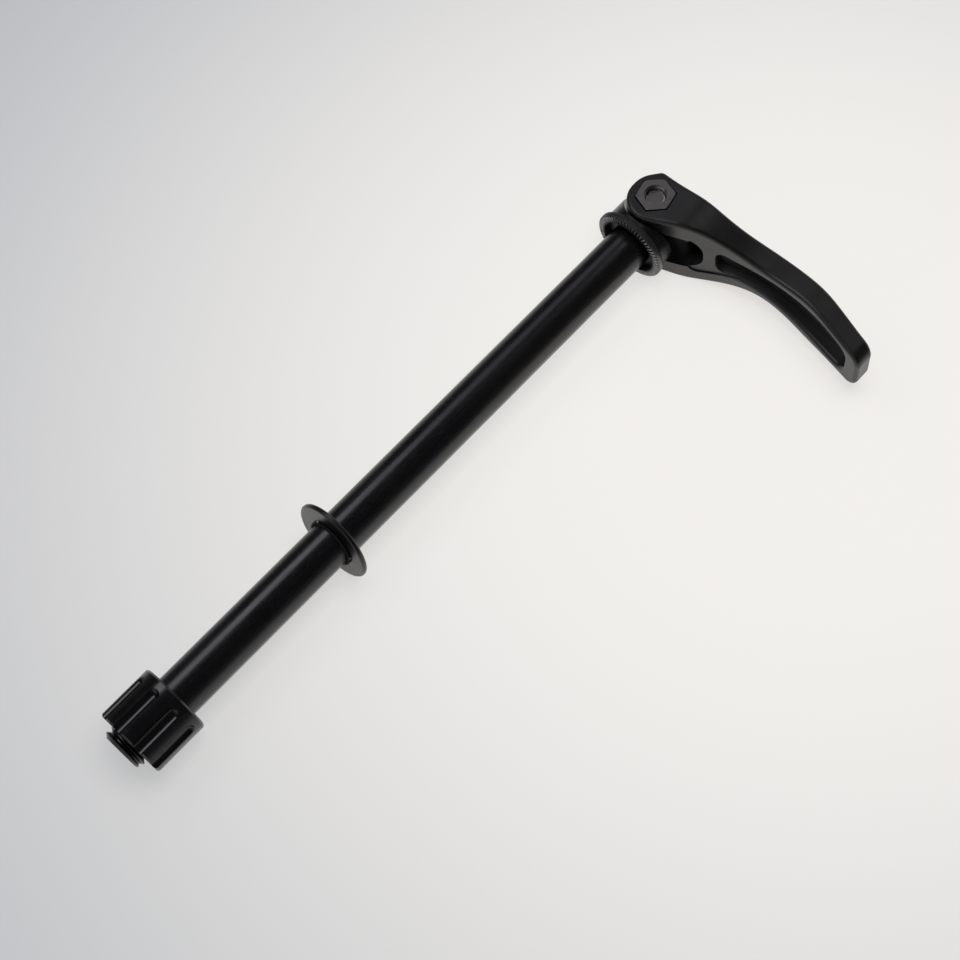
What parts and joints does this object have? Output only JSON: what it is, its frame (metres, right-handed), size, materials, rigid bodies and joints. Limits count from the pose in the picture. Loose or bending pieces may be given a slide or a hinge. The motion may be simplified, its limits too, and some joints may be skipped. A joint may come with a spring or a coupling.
{
  "type": "bicycle thru axle",
  "caption": "Quick-lever thru axle for a bicycle wheel: a plain shaft with a forked cam lever and a serrated ring at its head, a loose washer, and a fluted nut on its tail.",
  "frame": {"origin": "centre of the serrated ring's clamping face, on the axle's axis", "axes": "+Y along the axle towards the lever head, +X along the closed lever, +Z along the pivot towards its hexagon nut"},
  "size_m": [0.0807, 0.2035, 0.0246],
  "materials": {
    "black_anodised": "satin black anodised",
    "lever_black": "fine blasted, black anodised",
    "fastener_steel": "dull grey plated",
    "ring_steel": "blackened, bright on the tooth crests",
    "black_rubber": "matte"
  },
  "bodies": {
    "axle": {"axle_shaft": "black_anodised"},
    "lever": {"lever": "lever_black", "pivot_bolt": "fastener_steel", "pivot_nut": "fastener_steel"},
    "saddle": {"cam_saddle": "black_anodised", "serrated_ring": "ring_steel"},
    "washer": {"washer": "black_anodised", "grip_ring": "black_rubber"},
    "end_nut": {"end_nut": "black_anodised"}
  },
  "joints": [
    {"name": "lever_pivot", "type": "hinge", "parent": "axle", "child": "lever", "pos_m": [0, 0.0112, 0], "axis": [0, 0, 1], "range_deg": [0, 115]},
    {"name": "saddle_slide", "type": "slide", "parent": "axle", "child": "saddle", "axis": [0, 1, 0], "range_m": [0, 0.00045]},
    {"name": "washer_slide", "type": "slide", "parent": "axle", "child": "washer", "axis": [0, 1, 0], "range_m": [-0.051, 0.108]},
    {"name": "end_nut_turn", "type": "hinge", "parent": "axle", "child": "end_nut", "pos_m": [0, -0.17275, 0], "axis": [0, 1, 0], "continuous": true}
  ],
  "couplings": [
    {"joint": "saddle_slide", "follows": "lever_pivot", "m_per_rad": 0.0002}
  ]
}
